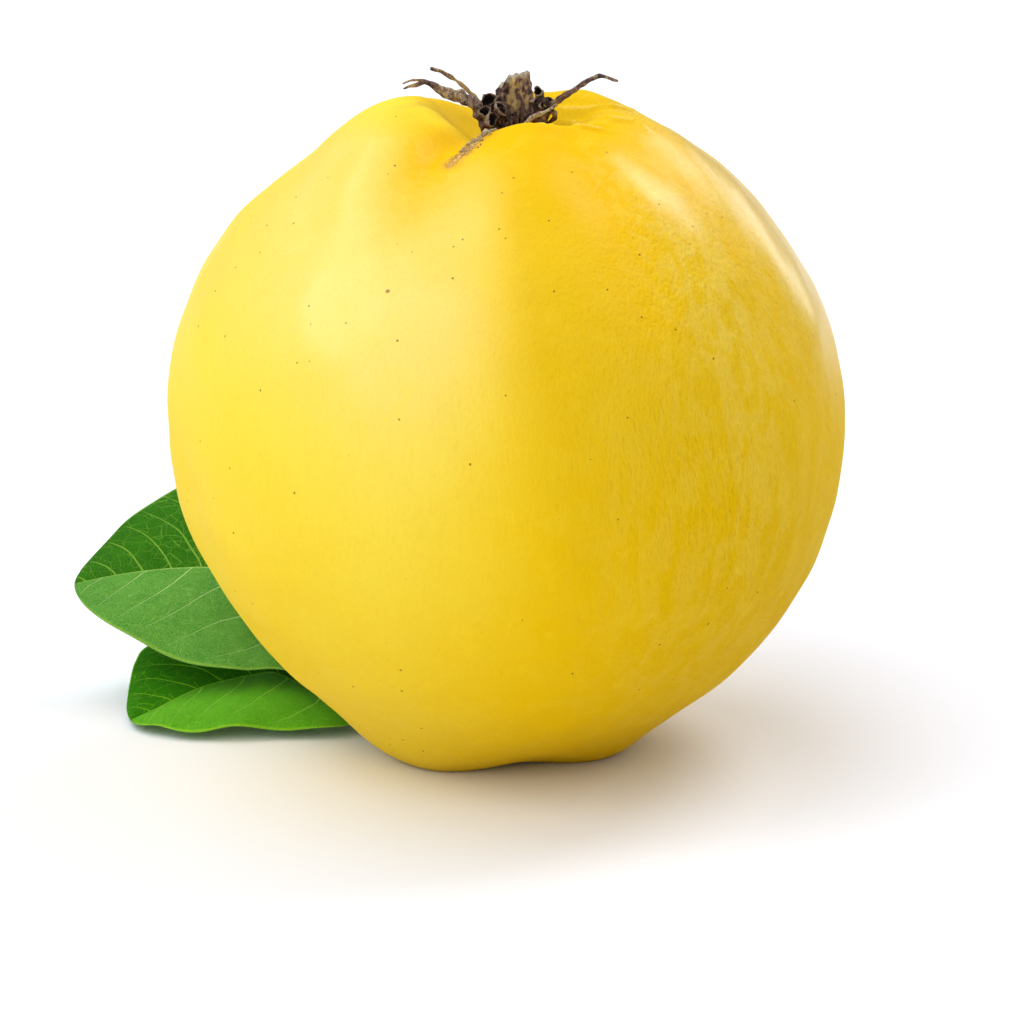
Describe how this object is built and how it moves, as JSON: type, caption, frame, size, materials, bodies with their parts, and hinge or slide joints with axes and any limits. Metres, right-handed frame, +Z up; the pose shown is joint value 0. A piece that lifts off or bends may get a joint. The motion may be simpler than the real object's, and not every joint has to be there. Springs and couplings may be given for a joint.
{
  "type": "quince fruit",
  "caption": "Whole ripe quince standing on its stalk end, lobed yellow fruit with a withered calyx in a hollow on top and green leaves spread at one side.",
  "frame": {"origin": "middle of the bounding box on the surface that the quince stands on", "axes": "+Z up through the fruit; +X away from the leaves, along the longest extent; the pictured side faces -Y"},
  "size_m": [0.103, 0.0895, 0.0896],
  "materials": {
    "skin": "waxy fruit skin, lemon to golden yellow",
    "sepals": "withered sepals, brown and grey",
    "stamens": "withered stamens, nearly black",
    "wood": "rough bark",
    "leaf": "smooth green leaf, satin"
  },
  "bodies": {
    "root": {"fruit": "skin", "calyx": "sepals", "stamens": "stamens", "stem": "wood", "leaf_upper": "leaf", "leaf_lower": "leaf"}
  },
  "joints": []
}
